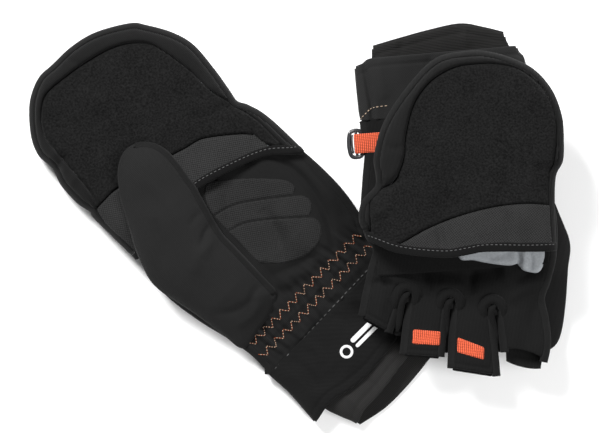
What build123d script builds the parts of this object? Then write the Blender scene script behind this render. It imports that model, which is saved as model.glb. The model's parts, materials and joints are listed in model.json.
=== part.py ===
"""A pair of convertible flip-top mittens, laid out flat.

The left mitten lies palm up with its hood closed over the fingers. The right mitten lies palm down,
partly across the left cuff, with its hood folded back over the back of the hand.

Each mitten is cut and built in its own frame, in millimetres:
    x  across the hand, towards the little finger
    y  along the hand, towards the fingertips, 0 at the seam that the hood folds about
    z  through the hand, 0 at the back of the hand, positive towards the palm
The right mitten is the mirror image of the left one in z. Every sewn piece is a flat pattern cut from a
layer: the prism over the pattern, kept where the layer is.
"""

import math
import os

from build123d import *

os.makedirs("parts", exist_ok=True)

# ---------------------------------------------------------------- driving dimensions, millimetres
SHELL = 1.8  # insulated softshell panels of the hand
HOOD_SHELL = 2.0  # insulated panels of the hood
LINER = 0.6  # woven lining
PRINT = 0.6  # grip patches and sewn tapes
GAP = 0.4  # room between pieces that move past each other

HAND_WIDTH = 127.0  # across the palm
WRIST_WIDTH = 106.0
HAND_DEPTH = 17.5  # back panel to palm panel, laid flat
WRIST_Y = -101.0  # seam between hand and cuff
ELASTIC_Y = -83.0  # middle of the gathered wrist
JOG_START, JOG_END = -12.0, 0.0  # the back panel dips under the hood's seam here

HOOD_LENGTH = 139.0
HOOD_HALF = 61.0  # half the hood's width
HEM = 6.0  # width of the hood's hem binding
CUFF_ENDS = {"left": (-142.0, -164.0), "right": (-134.0, -153.0)}  # outer, inner; the right ones sag
OUTER_WALL, INNER_WALL = 1.4, 1.2

# Layers through the thickness, in z.
FINGER_BACK = HOOD_SHELL + LINER + GAP + PRINT  # outside of the finger backs, inside the hood
PALM_TOP = HAND_DEPTH
PALM_UNDER = PALM_TOP - SHELL
LINER_PALM = PALM_TOP + PRINT + GAP
HOOD_UNDER = LINER_PALM + LINER
HOOD_TOP = HOOD_UNDER + HOOD_SHELL
HOOD_GRIP_TOP = HOOD_TOP + PRINT
THUMB_UNDER = HOOD_GRIP_TOP + 0.5
THUMB_TOP = 40.0
FOLD_Z = -GAP / 2  # the hood turns about this line, just outside the back panel

# Fingers: base point, outward lean in degrees, width, and the height of the cut-off tip.
FINGERS = {
    "index": (-34.0, 8.0, 0.0, 29.0, 55.0),
    "middle": (-4.0, 8.0, 2.0, 24.0, 59.0),
    "ring": (22.0, 2.0, 5.0, 22.0, 47.0),
    "little": (44.0, 0.0, 5.0, 19.0, 27.0),
}
CROTCHES = ((-50.0, 22.0), (-16.5, 20.0), (9.5, 13.5), (34.0, 6.0), (54.0, 3.0))

# The thumb pouch is the hull of three circles: tip, ball of the thumb, and wrist end.
THUMB_CIRCLES = {
    "left": ((-18.0, 43.0, 19.0), (-36.0, -18.0, 27.5), (-32.0, -58.0, 18.0)),
    "right": ((-44.0, 38.0, 17.0), (-42.0, -20.0, 27.0), (-34.0, -60.0, 13.0)),
}
THUMB_HOLE = (-36.0, -20.0, 17.0, 24.0)  # centre x, centre y, half width, half length

# How far the wrist and cuff hang down towards the palm side, at stations along y.
SAG = {
    "left": ((-164.0, 0.0), (WRIST_Y, 0.0), (-55.0, 0.0)),
    "right": ((-153.0, 15.0), (WRIST_Y, 6.0), (-55.0, 0.0)),
}

# Where each mitten's frame lies in the pair: x, y of its origin and its turn about z, in degrees.
PLACES = {
    "left": (-52.6, 14.1, 45.0),
    "right": (104.6, -27.2, 184.0),
}
FLOOR_TO_BACK = THUMB_TOP  # the right mitten's back of hand is this high above the floor

MAGNET_Y = 117.0  # hood magnet from the fold; the cuff magnet meets it when the hood is folded back
MAGNET_RADIUS, MAGNET_THICK = 6.0, 1.3

LOOP_Y, LOOP_WIDTH = -85.0, 12.0
LOOP_Z = 9.0
BAR_X, BAR_RADIUS = 58.5, 1.4
HOOK_THICK = 3.0

RUN_OUT = 4.0  # how far a hollow's pattern runs out past its open end
TALL = 60.0  # taller than any layer
WIDE = 90.0  # wider than any pattern, each way


# ---------------------------------------------------------------- layers
def sag(side, y):
    """How far the layers hang at y, from the stations in SAG."""
    stations = SAG[side]
    if y >= stations[-1][0]:
        return 0.0
    for (y0, s0), (y1, s1) in zip(stations, stations[1:]):
        if y <= y1:
            return s0 + (s1 - s0) * (y - y0) / (y1 - y0)
    return 0.0


def hang(side, points):
    """A line of (y, z) points, lowered by the sag and broken at its stations."""
    stations = {y for y, _ in SAG[side] if points[0][0] < y < points[-1][0]}
    stations.update(y for y, _ in points)
    return [(y, height_at(points, y) + sag(side, y)) for y in sorted(stations)]


def height_at(points, y):
    """The height of a line of (y, z) points at y."""
    for (y0, z0), (y1, z1) in zip(points, points[1:]):
        if y <= y1:
            return z0 + (z1 - z0) * (y - y0) / (y1 - y0)
    return points[-1][1]


def layer(side, low, high):
    """The space between two lines of (y, z) points, right across the hand."""
    with BuildPart() as space:
        with BuildSketch(Plane.YZ):
            with BuildLine():
                Polyline(*hang(side, low), *reversed(hang(side, high)), close=True)
            make_face()
        extrude(amount=WIDE, both=True)
    return space.part


def flat(z, start=-105.0, end=145.0):
    """A level line of (y, z) points."""
    return [(start, z), (end, z)]


def back_line(inside):
    """Outer or inner face of the back panel, which dips under the hood at the fold."""
    rise = SHELL if inside else 0.0
    return [
        (WRIST_Y, rise),
        (JOG_START, rise),
        (JOG_END, FINGER_BACK + rise),
        (70.0, FINGER_BACK + rise),
    ]


def thumb_line(rise):
    """Underside of the thumb pouch: on the palm near its base, over the hood further out."""
    return [
        (-90.0, PALM_TOP + rise),
        (-14.0, PALM_TOP + rise),
        (-1.0, THUMB_UNDER + rise),
        (80.0, THUMB_UNDER + rise),
    ]


def cut(pattern, space):
    """A flat pattern cut from a layer."""
    with BuildPart() as piece:
        extrude(pattern, amount=TALL)
        add(space, mode=Mode.INTERSECT)
    return piece.part


# ---------------------------------------------------------------- flat patterns
def hand_pattern(inset=0.0):
    """The hand with its four cut-off fingers. An inset pattern runs out past the open ends."""
    open_end = RUN_OUT if inset else 0.0
    wrist = WRIST_WIDTH / 2 - inset
    palm = HAND_WIDTH / 2 - inset
    with BuildSketch() as pattern:
        with BuildLine():
            Line((-wrist, WRIST_Y), (wrist, WRIST_Y))
            little_side = Spline(
                (wrist, WRIST_Y),
                (wrist, ELASTIC_Y),
                (palm, -45.0),
                (palm - 0.5, -20.0),
                (CROTCHES[-1][0] - inset, CROTCHES[-1][1] - inset),
            )
            crotches = [(x, y - inset) for x, y in reversed(CROTCHES[1:-1])]
            thumb_corner = (CROTCHES[0][0] + inset, CROTCHES[0][1] - inset)
            Polyline(little_side @ 1, *crotches, thumb_corner)
            Spline(
                thumb_corner,
                (-56.5 + inset, 0.0),
                (-palm + 1.0, -22.0),
                (-palm, -45.0),
                (-wrist, ELASTIC_Y),
                (-wrist, WRIST_Y),
            )
        make_face()
        if inset:
            with Locations((0, WRIST_Y - open_end / 2)):
                Rectangle(2 * wrist, open_end)
        for x, y, lean, width, tip in FINGERS.values():
            length = (tip - y) / math.cos(math.radians(lean)) + open_end
            with Locations(Location((x, y, 0), (0, 0, -lean))):
                Rectangle(width - 2 * inset, length, align=(Align.CENTER, Align.MIN))
    return pattern.sketch


def thumb_pattern(side, inset=0.0):
    """The thumb pouch: the hull of its three circles."""
    with BuildSketch() as pattern:
        for x, y, radius in THUMB_CIRCLES[side]:
            with Locations((x, y)):
                Circle(radius - inset)
        make_hull()
    return pattern.sketch


def thumb_hole():
    """Where the thumb goes from the hand into its pouch."""
    x, y, half_width, half_length = THUMB_HOLE
    with BuildSketch() as hole:
        with Locations((x, y)):
            Ellipse(half_width, half_length)
    return hole.sketch


def hood_pattern(inset=0.0):
    """The whole hood, seen flat. An inset pattern runs out past the open end."""
    start = 0.5 - (RUN_OUT if inset else 0.0)
    half = HOOD_HALF - inset
    tip = HOOD_LENGTH - inset
    with BuildSketch() as pattern:
        with BuildLine():
            Line((-half, start), (half, start))
            Line((half, start), (half, 20.0))
            outline = Spline(
                (half, 20.0),
                (half - 1.0, 82.0),
                (44.0 - inset * 0.7, 121.0 - inset * 0.7),
                (-6.0, tip),
                (-43.0 + inset * 0.7, 126.0 - inset * 0.7),
                (-half + 3.0, 98.0),
                (-half, 20.0),
                tangents=((0, 1), (0, -1)),
            )
            Line(outline @ 1, (-half, start))
        make_face()
    return pattern.sketch


def hem_line(shift=0.0):
    """The free edge of the hood's palm panel, slanting back towards the little finger."""
    return Spline(
        (-HOOD_HALF - 3, 12.0 + shift),
        (-2.0, 15.5 + shift),
        (46.0, -1.0 + shift),
        (HOOD_HALF + 3, -14.0 + shift),
    )


def above_hem(shift):
    """Everything on the fingertip side of the hem line."""
    with BuildSketch() as region:
        with BuildLine():
            edge = hem_line(shift)
            Polyline(edge @ 1, (WIDE, 160.0), (-WIDE, 160.0), edge @ 0)
        make_face()
    return region.sketch


def hood_palm_pattern(shift=0.0):
    """The hood's inset palm panel, as wide as the hood near the hem and narrower round the tip."""
    with BuildSketch() as pattern:
        with BuildLine():
            Line((-HOOD_HALF, -20.0), (HOOD_HALF, -20.0))
            Line((HOOD_HALF, -20.0), (HOOD_HALF, 22.0))
            seam = Spline(
                (HOOD_HALF, 22.0),
                (50.0, 65.0),
                (45.0, 100.0),
                (28.0, 117.0),
                (-18.0, 128.0),
                (-44.0, 111.0),
                (-50.0, 72.0),
                (-HOOD_HALF, 40.0),
            )
            Line(seam @ 1, (-HOOD_HALF, -20.0))
        make_face()
        add(above_hem(shift), mode=Mode.INTERSECT)
    return pattern.sketch


def hood_grip_pattern():
    """The textured patch beside the hem, wide at the thumb side and gone at the little finger."""
    with BuildSketch() as pattern:
        with BuildLine():
            edge = Spline((49.0, 10.0), (28.0, 33.0), (0.0, 43.0), (-40.0, 53.0), (-56.0, 44.0))
            Polyline(edge @ 1, (-56.0, -10.0), (49.0, -10.0), edge @ 0)
        make_face()
        add(above_hem(HEM), mode=Mode.INTERSECT)
    return pattern.sketch


# ---------------------------------------------------------------- the hand
def hand_pieces(side):
    """Back and palm panels, the two side gussets and the fourchettes between the fingers."""
    outer, inner = hand_pattern(), hand_pattern(SHELL)
    back = cut(outer, layer(side, back_line(False), back_line(True)))
    with BuildPart() as palm:
        add(cut(outer, layer(side, flat(PALM_UNDER), flat(PALM_TOP))))
        extrude(thumb_hole(), amount=TALL, mode=Mode.SUBTRACT)
    with BuildSketch() as wall_pattern:
        add(outer)
        add(inner, mode=Mode.SUBTRACT)
    walls = cut(wall_pattern.sketch, layer(side, back_line(True), flat(PALM_UNDER)))
    names = (
        "radial_gusset",
        "fourchette_index_middle",
        "fourchette_middle_ring",
        "fourchette_ring_little",
        "ulnar_gusset",
    )
    pieces = dict(zip(names, walls.solids().sort_by(Axis.X)))
    return {"back_panel": back, "palm_panel": palm.part, **pieces}


def thumb_pieces(side):
    """Thumb pouch: outer panel, under panel with its hole, and the gusset round the edge."""
    outer = thumb_pattern(side)
    top = THUMB_TOP - SHELL
    with BuildPart() as under:
        add(cut(outer, layer(side, thumb_line(0.0), thumb_line(SHELL))))
        extrude(thumb_hole(), amount=TALL, mode=Mode.SUBTRACT)
    with BuildSketch() as ring:
        add(outer)
        add(thumb_pattern(side, SHELL), mode=Mode.SUBTRACT)
    with BuildPart() as front:
        with BuildSketch(Plane.XY.offset(top)):
            add(outer)
        extrude(amount=SHELL)
    between = [(y, top - sag(side, y)) for y, _ in SAG[side] if y > -90.0]
    ceiling = [(-90.0, top - sag(side, -90.0)), *between, (80.0, top)]
    return {
        "thumb_front": front.part,
        "thumb_back": under.part,
        "thumb_gusset": cut(ring.sketch, layer(side, thumb_line(SHELL), ceiling)),
    }


def cuff(side, end, widths, lows, highs, wall):
    """A flattened tube from the wrist seam to its open end, hanging with the sag."""
    with BuildPart() as tube:
        for inset, mode in ((0.0, Mode.ADD), (wall, Mode.SUBTRACT)):
            for share, y in enumerate((WRIST_Y, end)):
                width = widths[0] + (widths[1] - widths[0]) * share
                low = lows[0] + (lows[1] - lows[0]) * share + sag(side, y)
                high = highs[0] + (highs[1] - highs[0]) * share + sag(side, y)
                depth = high - low - 2 * inset
                centre = Vector(0, y, (low + high) / 2)
                with BuildSketch(Plane(centre, x_dir=(1, 0, 0), z_dir=(0, -1, 0))):
                    RectangleRounded(width - 2 * inset, depth, depth / 2 - 0.05)
            loft(ruled=True, mode=mode)
    return tube.part


def hand_trim(side):
    """Elastic, palm grip, finger tapes and the two cuffs."""
    with BuildSketch() as elastic:
        with Locations((0, ELASTIC_Y)):
            Rectangle(WRIST_WIDTH - 2 * SHELL - 3, 14.0)
    with BuildSketch() as lobes:
        for tip_x, tip_y, tip_r, x, y, r in (
            (37.0, -24.0, 8.0, 8.0, 3.0, 10.0),
            (37.0, -40.0, 8.0, 5.0, -15.0, 9.0),
            (30.0, -53.0, 9.5, 4.0, -37.0, 11.0),
        ):
            with BuildSketch(mode=Mode.ADD) as lobe:
                with Locations((tip_x, tip_y)):
                    Circle(tip_r)
                with Locations((x, y)):
                    Circle(r)
                make_hull()
        add(thumb_pattern(side), mode=Mode.SUBTRACT)
    with BuildSketch() as tapes:
        for name, middle in (("middle", 44.0), ("ring", 34.5)):
            x, y, lean, width, _ = FINGERS[name]
            along = middle - y
            tilt = math.radians(lean)
            place = (x + along * math.sin(tilt), y + along * math.cos(tilt), 0)
            with Locations(Location(place, (0, 0, -lean))):
                Rectangle(width - 6.0, 10.0)
    outer_end, inner_end = CUFF_ENDS[side]
    return {
        "wrist_elastic": cut(elastic.sketch, layer(side, flat(PALM_UNDER - 0.8), flat(PALM_UNDER))),
        "palm_grip": cut(lobes.sketch, layer(side, flat(PALM_TOP), flat(PALM_TOP + PRINT))),
        "finger_tapes": cut(
            tapes.sketch, layer(side, flat(FINGER_BACK - PRINT), flat(FINGER_BACK))
        ),
        "outer_cuff": cuff(side, outer_end, (WRIST_WIDTH, 105.0), (0.0, 0.0), (17.5, 17.0), OUTER_WALL),
        "inner_cuff": cuff(side, inner_end, (93.0, 82.0), (3.4, 1.7), (14.4, 13.4), INNER_WALL),
    }


# ---------------------------------------------------------------- the hood
def hood_pieces(side):
    """The flip-top hood, closed over the fingers."""
    whole = hood_pattern()
    palm_panel, above = hood_palm_pattern(HEM), above_hem(0.0)
    magnet_place = Locations((0, MAGNET_Y))
    with BuildPart() as back:
        extrude(whole, amount=HOOD_SHELL)
        with BuildSketch(Plane.XY.offset(HOOD_SHELL)):
            with magnet_place:
                Circle(MAGNET_RADIUS + 0.1)
        extrude(amount=-MAGNET_THICK - 0.1, mode=Mode.SUBTRACT)
    with BuildPart() as magnet:
        with BuildSketch(Plane.XY.offset(HOOD_SHELL - MAGNET_THICK)):
            with magnet_place:
                Circle(MAGNET_RADIUS)
        extrude(amount=MAGNET_THICK - 0.05)
    with BuildSketch() as ring:
        add(whole)
        add(hood_pattern(HOOD_SHELL), mode=Mode.SUBTRACT)
    with BuildSketch() as border:
        add(whole)
        add(above, mode=Mode.INTERSECT)
        add(hood_palm_pattern(), mode=Mode.SUBTRACT)
    with BuildPart() as rim:
        with BuildSketch(Plane.XY.offset(HOOD_SHELL)):
            add(ring.sketch)
        extrude(amount=HOOD_UNDER - HOOD_SHELL)
        with BuildSketch(Plane.XY.offset(HOOD_UNDER)):
            add(border.sketch)
        extrude(amount=HOOD_SHELL)
    with BuildPart() as palm:
        with BuildSketch(Plane.XY.offset(HOOD_UNDER)):
            add(palm_panel)
        extrude(amount=HOOD_SHELL)
    with BuildPart() as hem:
        with BuildSketch(Plane.XY.offset(HOOD_UNDER)):
            add(hood_palm_pattern())
            add(palm_panel, mode=Mode.SUBTRACT)
        extrude(amount=HOOD_SHELL + 0.3)
    with BuildPart() as grip:
        with BuildSketch(Plane.XY.offset(HOOD_TOP)):
            add(hood_grip_pattern())
        extrude(amount=PRINT)
    with BuildPart() as liner:
        with BuildSketch(Plane.XY.offset(HOOD_SHELL)):
            add(hood_pattern(HOOD_SHELL + 1.0))
            add(whole, mode=Mode.INTERSECT)
        extrude(amount=LINER)
        with BuildSketch(Plane.XY.offset(LINER_PALM)):
            add(hood_pattern(HOOD_SHELL + 1.0))
            add(above_hem(HEM + 1.0), mode=Mode.INTERSECT)
        extrude(amount=LINER)
    return {
        "hood_back": back.part,
        "hood_rim": rim.part,
        "hood_palm": palm.part,
        "hood_hem": hem.part,
        "hood_grip": grip.part,
        "hood_liner": liner.part,
        "hood_magnet": magnet.part,
    }


def cuff_magnet(side):
    """The keeper that the hood's magnet meets, between the two cuffs on the back of the wrist."""
    with BuildSketch() as disc:
        with Locations((0, -MAGNET_Y)):
            Circle(MAGNET_RADIUS)
    low = OUTER_WALL + 0.1
    start = CUFF_ENDS[side][0]
    return cut(disc.sketch, layer(side, flat(low, start), flat(low + 0.7, start)))


# ---------------------------------------------------------------- clip loop and hook
def clip_loop(side):
    """Webbing folded round the hook's bar, its two ends sewn into the little-finger seam."""
    z = LOOP_Z + sag(side, LOOP_Y)
    inside, outside = BAR_RADIUS + 0.35, BAR_RADIUS + 1.45
    sewn = WRIST_WIDTH / 2 + 1.5
    with BuildPart() as webbing:
        plane = Plane((0, LOOP_Y - LOOP_WIDTH / 2, z), x_dir=(1, 0, 0), z_dir=(0, -1, 0))
        with BuildSketch(plane):
            for radius, mode in ((outside, Mode.ADD), (inside, Mode.SUBTRACT)):
                with Locations((BAR_X, 0)):
                    Circle(radius, mode=mode)
                with Locations(((sewn + BAR_X) / 2, 0)):
                    Rectangle(BAR_X - sewn, 2 * radius, mode=mode)
        extrude(amount=-LOOP_WIDTH)
    return webbing.part


def clip_hook(side):
    """A flat G-hook: a bar inside the loop, a frame, and an outer finger with a gate gap."""
    z = LOOP_Z + sag(side, LOOP_Y)
    half = LOOP_WIDTH / 2 + 0.6
    arm = 2.0
    window = BAR_X + BAR_RADIUS + 2.0
    cross, slot = window + 1.6, window + 3.2
    end = slot + 1.8
    with BuildPart() as hook:
        with BuildSketch(Plane.XZ.offset(-(LOOP_Y - half))):
            with Locations((BAR_X, z)):
                Circle(BAR_RADIUS)
        extrude(amount=-2 * half)
        with BuildSketch(Plane.XY.offset(z - HOOK_THICK / 2)):
            for edge in (-half - arm / 2, half + arm / 2):
                with Locations(((BAR_X - BAR_RADIUS + end) / 2, LOOP_Y + edge)):
                    RectangleRounded(end - BAR_X + BAR_RADIUS, arm, 0.7)
            with Locations(((window + cross) / 2, LOOP_Y)):
                Rectangle(cross - window, 2 * half)
            with Locations(((slot + end) / 2, LOOP_Y + 1.2)):
                RectangleRounded(end - slot, 2 * half - 0.4, 0.6)
        extrude(amount=HOOK_THICK)
    return hook.part


# ---------------------------------------------------------------- placing and writing
def place(piece, side, name):
    """Moves a piece from its mitten's frame to the pair's frame and writes it."""
    x, y, turn = PLACES[side]
    if side == "right":
        piece = mirror(piece, about=Plane.XY)
        spot = Location((x, y, FLOOR_TO_BACK), (0, 0, turn))
    else:
        spot = Location((x, y, 0), (0, 0, turn))
    placed = spot * piece
    placed.label = f"{side}_{name}"
    export_step(placed, f"parts/{placed.label}.step")
    return placed


def build_mitten(side):
    """Every piece of one mitten."""
    pieces = {**hand_pieces(side), **thumb_pieces(side), **hand_trim(side), **hood_pieces(side)}
    pieces["cuff_magnet"] = cuff_magnet(side)
    pieces["clip_loop"] = clip_loop(side)
    if side == "right":
        pieces["clip_hook"] = clip_hook(side)
        folded = Rotation(180, 0, 0)
        for name in [n for n in pieces if n.startswith("hood_")]:
            spin = Location((0, 0, FOLD_Z)) * folded * Location((0, 0, -FOLD_Z))
            pieces[name] = spin * pieces[name]
    return [place(piece, side, name) for name, piece in pieces.items()]


pair = Compound(children=build_mitten("left") + build_mitten("right"))
box = pair.bounding_box()
print("pair", box.min, box.max, "centre", (box.min + box.max) * 0.5)
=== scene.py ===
"""Looks of the pair of convertible mittens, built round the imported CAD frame.

Each mitten is drawn in its own flat frame, in millimetres: x across the hand towards the little finger, y
along it towards the fingertips with 0 at the hood's fold, z the height above the table. A mitten is a few
puffed volumes (hand, thumb, hood, cuffs). A volume has an outline, a height half-way up its edge, and a top
and a bottom that are reached with a rounded edge. Its panels are sheets cut from those surfaces, and belts
run round its edge.
"""

import json
import math

import bpy
import numpy as np
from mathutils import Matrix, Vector


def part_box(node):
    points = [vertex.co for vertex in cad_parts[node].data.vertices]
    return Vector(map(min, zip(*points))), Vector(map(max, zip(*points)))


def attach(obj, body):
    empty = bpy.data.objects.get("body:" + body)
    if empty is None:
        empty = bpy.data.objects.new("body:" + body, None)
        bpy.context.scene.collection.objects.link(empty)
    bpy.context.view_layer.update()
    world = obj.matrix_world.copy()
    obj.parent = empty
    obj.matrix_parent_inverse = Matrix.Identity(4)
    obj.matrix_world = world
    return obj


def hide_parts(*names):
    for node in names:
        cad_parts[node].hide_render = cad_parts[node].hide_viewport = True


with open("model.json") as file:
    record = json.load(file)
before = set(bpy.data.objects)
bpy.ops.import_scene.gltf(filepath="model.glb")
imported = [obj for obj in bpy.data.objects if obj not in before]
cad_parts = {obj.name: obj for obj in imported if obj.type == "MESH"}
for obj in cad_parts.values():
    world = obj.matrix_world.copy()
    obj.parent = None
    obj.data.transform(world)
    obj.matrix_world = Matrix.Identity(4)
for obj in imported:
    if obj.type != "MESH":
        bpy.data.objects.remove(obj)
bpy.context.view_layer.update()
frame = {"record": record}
JOINTS = {joint["name"]: joint for joint in frame["record"]["behaviour"]["joints"]}
MM = 0.001
GRID = 0.9  # spacing of the sheets' points
FABRIC = 1.4  # thickness of one layer
WRIST_Y = -101.0  # where the hand's panels end in the cuff
ELASTIC_Y = -83  # middle of the gathered wrist
THUMB_HOLE = (-36, -20)
MAGNET_Y = 117  # from the hood's fold, both ways
HEM_WIDTH = 6.0
UPRIGHT = (0, 0, 1.0)


# ------------------------------------------------------------------ curves, regions, folds
def smooth(points, step=1.5, closed=False):
    """A Catmull-Rom curve through the points, evenly spaced."""
    p = np.array(points, float)
    if closed:
        p = np.vstack([p[-1], p, p[0], p[1]])
    else:
        p = np.vstack([2 * p[0] - p[1], p, 2 * p[-1] - p[-2]])
    t = np.linspace(0, 1, 16, endpoint=False)[:, None]
    runs = []
    for a, b, c, d in zip(p, p[1:], p[2:], p[3:]):
        runs.append(
            0.5 * (2 * b + (c - a) * t + (2 * a - 5 * b + 4 * c - d) * t**2 + (3 * b - a - 3 * c + d) * t**3)
        )
    dense = np.vstack(runs + [p[-2][None]])
    length = np.r_[0, np.cumsum(np.linalg.norm(np.diff(dense, axis=0), axis=1))]
    at = np.linspace(0, length[-1], max(int(length[-1] / step), 4) + 1)
    return np.stack([np.interp(at, length, dense[:, i]) for i in range(dense.shape[1])], axis=1)


def ring_of(points, step=1.5):
    """A smooth closed outline, running anticlockwise."""
    outline = smooth(points, step, closed=True)
    x, y = outline.T
    return outline if np.sum(x * np.roll(y, -1) - np.roll(x, -1) * y) > 0 else outline[::-1]


def extend(run, start, end):
    """The run made longer at both ends, along its end directions."""
    first = run[0] + (run[0] - run[2]) / np.linalg.norm(run[0] - run[2]) * start
    last = run[-1] + (run[-1] - run[-3]) / np.linalg.norm(run[-1] - run[-3]) * end
    return np.vstack([first, run, last])


def to_segments(P, line):
    """Distance from each point to a polyline, and how far along it, from 0 to 1."""
    best = np.full(len(P), 1e9)
    along = np.zeros(len(P))
    count = len(line) - 1
    for i, (a, b) in enumerate(zip(line, line[1:])):
        ab = b - a
        t = np.clip(((P - a) @ ab) / max(ab @ ab, 1e-12), 0, 1)
        d = np.hypot(*(P - a - t[:, None] * ab).T)
        closer = d < best
        best[closer] = d[closer]
        along[closer] = (i + t[closer]) / count
    return best, along


class Region:
    """Signed distance to a closed outline, negative inside, read from a grid."""

    def __init__(self, outline, step=1.2):
        self.step = step
        ring = np.vstack([outline, outline[:1]])
        self.low = ring.min(0) - 12
        self.count = np.ceil((ring.max(0) + 12 - self.low) / step).astype(int) + 1
        xs, ys = (self.low[i] + np.arange(self.count[i]) * step for i in (0, 1))
        P = np.stack(np.meshgrid(xs, ys, indexing="ij"), -1).reshape(-1, 2)
        distance, _ = to_segments(P, ring)
        inside = np.zeros(len(P), bool)
        for a, b in zip(ring, ring[1:]):
            if a[1] == b[1]:
                continue
            crosses = (a[1] > P[:, 1]) != (b[1] > P[:, 1])
            inside ^= crosses & (P[:, 0] < (b[0] - a[0]) * (P[:, 1] - a[1]) / (b[1] - a[1]) + a[0])
        self.values = np.where(inside, -distance, distance).reshape(self.count)

    def __call__(self, P):
        g = np.clip((P - self.low) / self.step, 0, self.count - 1.001)
        i = g.astype(int)
        f = g - i
        v = self.values
        x, y = i.T
        u, w = f.T
        before = v[x, y] * (1 - u) + v[x + 1, y] * u
        after = v[x, y + 1] * (1 - u) + v[x + 1, y + 1] * u
        return before * (1 - w) + after * w


def above(line, side=1.0):
    """Signed distance to an open line read as y over x: negative where y is greater, or less for side -1."""
    order = np.argsort(line[:, 0])
    xs, ys = line[order, 0], line[order, 1]
    slope = np.gradient(ys, xs)

    def distance(P):
        tilt = np.sqrt(1 + np.interp(P[:, 0], xs, slope) ** 2)
        return side * (np.interp(P[:, 0], xs, ys) - P[:, 1]) / tilt

    return distance


def both(*regions):
    """Inside all the regions."""
    return lambda P: np.max([region(P) for region in regions], axis=0)


def either(*regions):
    """Inside at least one of the regions."""
    return lambda P: np.min([region(P) for region in regions], axis=0)


def outside(region):
    """Inside where the region is not."""
    return lambda P: -region(P)


def grown(region, by):
    """The region made larger all round, or smaller for a negative size."""
    return lambda P: region(P) - by


def rounded(d, radius, power=2.2):
    """Rises from 0 at the edge to 1 at the radius, like the side of a cushion."""
    q = 1 - np.clip(d / radius, 0, 1)
    return (1 - q**power) ** (1 / power)


def seam(P, region, radius=1.7, depth=1.3):
    """How far a panel's top drops towards its seam."""
    q = 1 - np.clip(-region(P) / radius, 0, 1)
    return depth * (1 - np.sqrt(np.clip(1 - q**2, 0, 1)))


def folds(P, rows):
    """Ridges, and creases of negative height, which fade at their ends. A row is width, height, curve."""
    z = np.zeros(len(P))
    for width, height, *points in rows:
        d, t = to_segments(P, smooth(points, 3.0))
        fade = np.sqrt(np.clip(np.sin(math.pi * np.clip(t, 0.001, 0.999)), 0, 1))
        z += height * fade * np.exp(-((d / width) ** 2))
    return z


def unevenness(P, size, height, seed):
    """Gentle waves in many directions, the same each run."""
    rng = np.random.default_rng(seed)
    z = np.zeros(len(P))
    for _ in range(9):
        angle, phase = rng.uniform(0, 2 * math.pi, 2)
        wave = 2 * math.pi / (size * rng.uniform(0.7, 1.6))
        z += np.sin(wave * (P[:, 0] * math.cos(angle) + P[:, 1] * math.sin(angle)) + phase)
    return z * height / 3


def wrinkled(size, height, seed, rows=()):
    """Waves and folds as a height over the plane."""
    return lambda P: unevenness(P, size, height, seed) + folds(P, rows)


# ------------------------------------------------------------------ placing and meshes
class Mitten:
    """One mitten's flat frame, read from its hood's fold joint."""

    def __init__(self, side):
        joint = JOINTS[f"{side}_hood_fold"]
        self.side = side
        self.origin = np.array(joint["pos_m"][:2])
        self.across = -np.array(joint["axis"][:2])
        self.hand_body, self.hood_body = f"{side}_glove", f"{side}_hood"
        self.turn = math.atan2(self.across[1], self.across[0])

    def local(self, corners):
        """The middle of a box in the row frame, in the flat frame's millimetres."""
        middle = (np.array(corners[0]) + np.array(corners[1])) / 2
        (dx, dy), (c, s) = middle[:2] - self.origin, self.across
        return (dx * c + dy * s) / MM, (dy * c - dx * s) / MM, middle[2] / MM

    def world(self, P):
        """Millimetres in the flat frame to metres in the row frame."""
        x, y = P[:, 0] * MM, P[:, 1] * MM
        c, s = self.across
        return np.stack([self.origin[0] + x * c - y * s, self.origin[1] + x * s + y * c, P[:, 2] * MM], 1)

    def add(self, name, shape, material, node=None, slot=None, body=None):
        """Makes a mesh piece in the row frame, riding on the hand unless another body is given."""
        vertices, faces = shape
        mesh = bpy.data.meshes.new(f"{self.side}_{name}")
        points = self.world(np.asarray(vertices, float)).tolist()
        mesh.from_pydata(points, [], [list(map(int, face)) for face in faces])
        mesh.validate()
        mesh.shade_smooth()
        mesh.materials.append(material)
        piece = bpy.data.objects.new(f"{self.side}_{name}", mesh)
        bpy.context.scene.collection.objects.link(piece)
        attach(piece, body or self.hand_body)
        if node:
            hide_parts(f"{self.side}_{node}")
        return piece


def join(parts):
    """Several (vertices, faces) as one."""
    vertices, faces, start = [], [], 0
    for v, f in parts:
        vertices.append(np.asarray(v, float))
        faces += [[i + start for i in face] for face in f]
        start += len(v)
    return np.vstack(vertices), faces


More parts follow.
